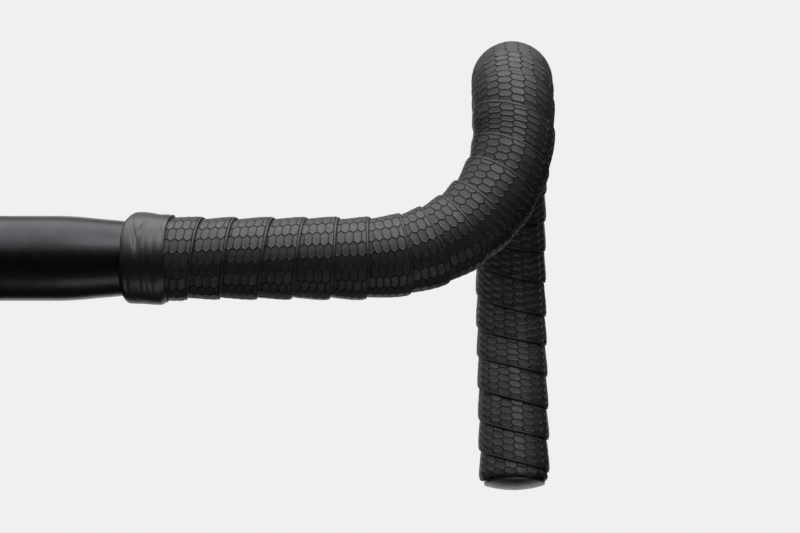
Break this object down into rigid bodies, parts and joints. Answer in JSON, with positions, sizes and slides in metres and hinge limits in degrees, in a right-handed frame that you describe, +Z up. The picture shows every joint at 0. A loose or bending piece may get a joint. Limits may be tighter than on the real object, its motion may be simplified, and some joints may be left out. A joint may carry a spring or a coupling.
{
  "type": "drop handlebar",
  "caption": "Road drop handlebar with a straight clamp zone, short curved ramps, compact hooks, wound bar tape and push-in end plugs.",
  "frame": {"origin": "centre of the stem clamp zone, on the tube's axis", "axes": "+X along the tops towards the rider's right, +Y forwards, +Z up"},
  "size_m": [0.4612, 0.1618, 0.1577],
  "materials": {
    "tube": "satin black anodised",
    "bar_tape": "embossed foam tape with a satin skin",
    "backing": "soft gel strip",
    "finishing_tape": "satin stretched vinyl",
    "plug": "moulded black"
  },
  "bodies": {
    "bar": {"bar_tube": "tube", "right_bar_tape": "bar_tape", "left_bar_tape": "bar_tape", "right_backing_strip": "backing", "left_backing_strip": "backing", "right_finishing_tape": "finishing_tape", "left_finishing_tape": "finishing_tape"},
    "right_plug": {"right_end_plug": "plug"},
    "left_plug": {"left_end_plug": "plug"}
  },
  "joints": [
    {"name": "right_plug_pull", "type": "slide", "parent": "bar", "child": "right_plug", "axis": [0.0036, -0.9994, -0.0348], "range_m": [0, 0.03]},
    {"name": "left_plug_pull", "type": "slide", "parent": "bar", "child": "left_plug", "axis": [-0.0036, -0.9994, -0.0348], "range_m": [0, 0.03]}
  ]
}
